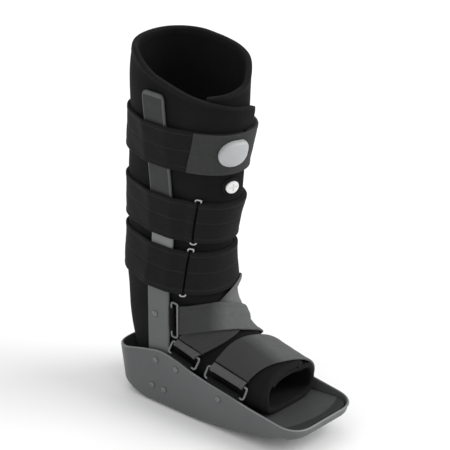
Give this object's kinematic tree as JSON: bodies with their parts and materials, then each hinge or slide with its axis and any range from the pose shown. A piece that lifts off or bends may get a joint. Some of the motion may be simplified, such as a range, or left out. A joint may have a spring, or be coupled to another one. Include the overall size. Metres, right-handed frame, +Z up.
{
  "type": "medical walking boot",
  "caption": "Tall rocker-soled walking boot: plastic shell, riveted uprights and a wrapped foam liner closed by calf and foot straps.",
  "frame": {"origin": "middle of the sole's flat, on the ground", "axes": "+Z up along the leg, -Y towards the toes, -X towards the wearer's right"},
  "size_m": [0.112, 0.2945, 0.43],
  "materials": {
    "shell": "satin moulded plastic",
    "insole": "matte foam rubber",
    "upright": "satin grey",
    "liner": "brushed loop cloth over foam",
    "black_webbing": "woven",
    "grey_webbing": "brushed weave",
    "wire": "satin",
    "rivet": "satin grey",
    "bulb": "smooth silver grey",
    "valve": "glossy white"
  },
  "bodies": {
    "root": {"base_shell": "shell", "insole": "insole", "upright_right": "upright", "upright_left": "upright", "liner": "liner", "strap_low": "black_webbing", "loop_low": "wire", "strap_low_fold": "black_webbing", "strap_middle": "black_webbing", "loop_middle": "wire", "strap_middle_fold": "black_webbing", "strap_top": "black_webbing", "strap_top_tab": "grey_webbing", "pump_bulb": "bulb", "valve_collar": "black_webbing", "valve_cap": "valve", "ring_instep": "wire", "tab_instep": "black_webbing", "ring_forefoot": "wire", "tab_forefoot": "black_webbing", "ring_ankle": "wire", "tab_ankle": "black_webbing", "strap_instep": "grey_webbing", "strap_ankle": "grey_webbing", "strap_forefoot": "grey_webbing", "rivet_right_upright_top": "rivet", "rivet_right_upright_heel": "rivet", "rivet_right_upright_toe": "rivet", "rivet_right_instep": "rivet", "rivet_right_forefoot": "rivet", "rivet_left_upright_top": "rivet", "rivet_left_upright_heel": "rivet", "rivet_left_upright_toe": "rivet", "rivet_left_instep": "rivet", "rivet_left_forefoot": "rivet", "rivet_right_ankle": "rivet"}
  },
  "joints": []
}
